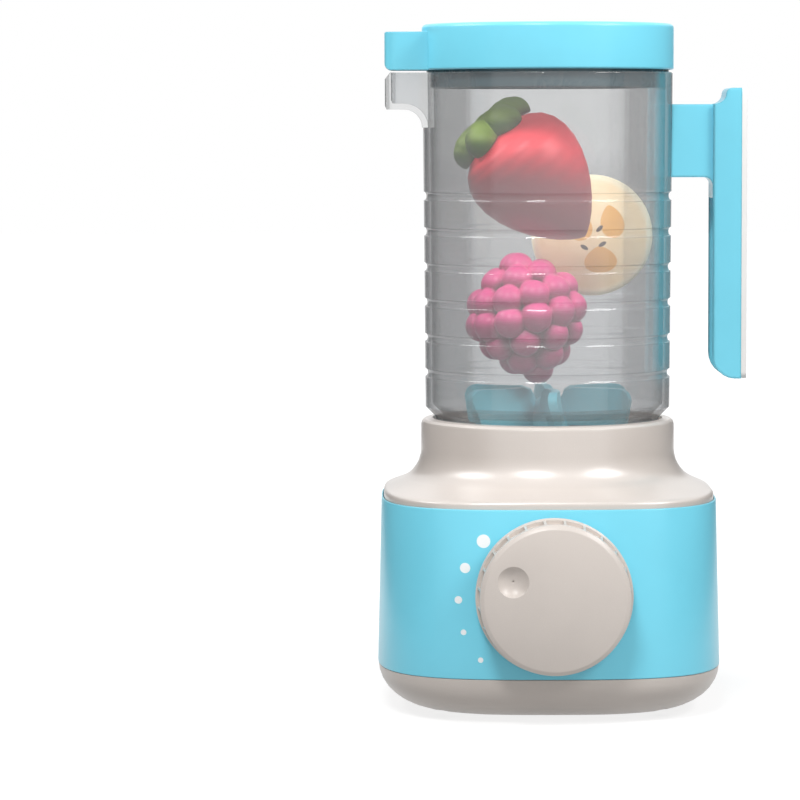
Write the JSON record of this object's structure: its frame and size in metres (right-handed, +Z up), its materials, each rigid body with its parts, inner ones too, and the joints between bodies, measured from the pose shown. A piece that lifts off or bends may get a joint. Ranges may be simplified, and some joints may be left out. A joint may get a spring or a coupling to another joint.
{
  "type": "toy blender",
  "caption": "Toy blender: a battery stand with a turning dial and geared drive, a lift-off clear jug with a handle, paddles, a lid and play food in it.",
  "frame": {"origin": "on the ground, at the middle of the whole object seen from above; the axis of the jug and paddles stands at x = -0.00511 m, y = 0.00735 m", "axes": "+Z up along the jug's axis; -Y towards the dial, the front; +X towards the handle; -X towards the spout"},
  "size_m": [0.1412, 0.1456, 0.2608],
  "materials": {
    "beige": "satin pearl",
    "blue": "smooth gloss",
    "plug": "smooth gloss",
    "clear": "clear moulded plastic",
    "turquoise": "satin",
    "red": "soft satin",
    "green": "soft satin",
    "cream": "soft satin",
    "pink": "soft satin",
    "rubber": "matt",
    "cell": "gloss sleeve",
    "board": "lacquered",
    "grey_plastic": "moulded",
    "white_plastic": "moulded, slick",
    "dark_plastic": "moulded",
    "brass": "turned",
    "can": "plated",
    "steel": "bright"
  },
  "bodies": {
    "base": {"base_tray": "beige", "rubber_feet": "rubber", "battery_door": "beige", "door_screw": "steel", "case_screws": "steel", "cells_aa": "cell", "cell_springs": "steel", "cell_plates": "steel", "housing_shell": "blue", "collar": "beige", "gearbox_plate": "grey_plastic", "plate_screws": "steel", "motor": "can", "motor_screws": "steel", "idler_pin": "steel", "lower_bush": "brass", "upper_bush": "brass", "switch_board": "board", "board_screws": "steel"},
    "dial_knob": {"dial": "beige", "dial_shaft": "steel", "switch_wiper": "brass", "dial_clip": "steel"},
    "drive": {"drive_gear": "white_plastic", "drive_shaft": "steel", "drive_coupling": "dark_plastic"},
    "idler": {"idler_gear": "white_plastic"},
    "motor_rotor": {"motor_shaft": "steel", "motor_pinion": "white_plastic"},
    "jug": {"jug_body": "clear", "paddle_bush": "brass", "handle_grip": "blue", "handle_screws": "steel", "handle_strip": "beige"},
    "paddles": {"paddle_rotor": "turquoise", "paddle_shaft": "steel", "paddle_coupling": "dark_plastic"},
    "cover": {"lid": "blue", "lid_plug": "plug"},
    "raspberry_piece": {"raspberry": "pink"},
    "banana_piece": {"banana_slice": "cream"},
    "strawberry_piece": {"strawberry": "red", "strawberry_leaves": "green"}
  },
  "joints": [
    {"name": "jug_lift", "type": "slide", "parent": "base", "child": "jug", "axis": [0, 0, 1], "range_m": [0, 0.05]},
    {"name": "lid_lift", "type": "slide", "parent": "jug", "child": "cover", "axis": [0, 0, 1], "range_m": [0, 0.04]},
    {"name": "dial_turn", "type": "hinge", "parent": "base", "child": "dial_knob", "pos_m": [-0.00511, -0.05765, 0.0487], "axis": [0, -1, 0], "range_deg": [-14, 64]},
    {"name": "drive_spin", "type": "hinge", "parent": "base", "child": "drive", "pos_m": [-0.00511, 0.00735, 0.085], "axis": [0, 0, 1], "continuous": true},
    {"name": "idler_spin", "type": "hinge", "parent": "base", "child": "idler", "pos_m": [-0.02466, 0.01446, 0.08], "axis": [0, 0, 1], "continuous": true},
    {"name": "motor_spin", "type": "hinge", "parent": "base", "child": "motor_rotor", "pos_m": [-0.01948, 0.03378, 0.08], "axis": [0, 0, 1], "continuous": true},
    {"name": "paddle_spin", "type": "hinge", "parent": "jug", "child": "paddles", "pos_m": [-0.00511, 0.00735, 0.11], "axis": [0, 0, 1], "continuous": true},
    {"name": "raspberry_rise", "type": "slide", "parent": "jug", "child": "raspberry_piece", "axis": [0, 0, 1], "range_m": [0, 0.0005]},
    {"name": "banana_rise", "type": "slide", "parent": "raspberry_piece", "child": "banana_piece", "axis": [0, 0, 1], "range_m": [0, 0.0005]},
    {"name": "strawberry_rise", "type": "slide", "parent": "banana_piece", "child": "strawberry_piece", "axis": [0, 0, 1], "range_m": [0, 0.0005]}
  ],
  "couplings": [
    {"joint": "idler_spin", "follows": "drive_spin", "ratio": -2.7143},
    {"joint": "motor_spin", "follows": "drive_spin", "ratio": 10.857},
    {"joint": "paddle_spin", "follows": "drive_spin", "ratio": 1}
  ]
}
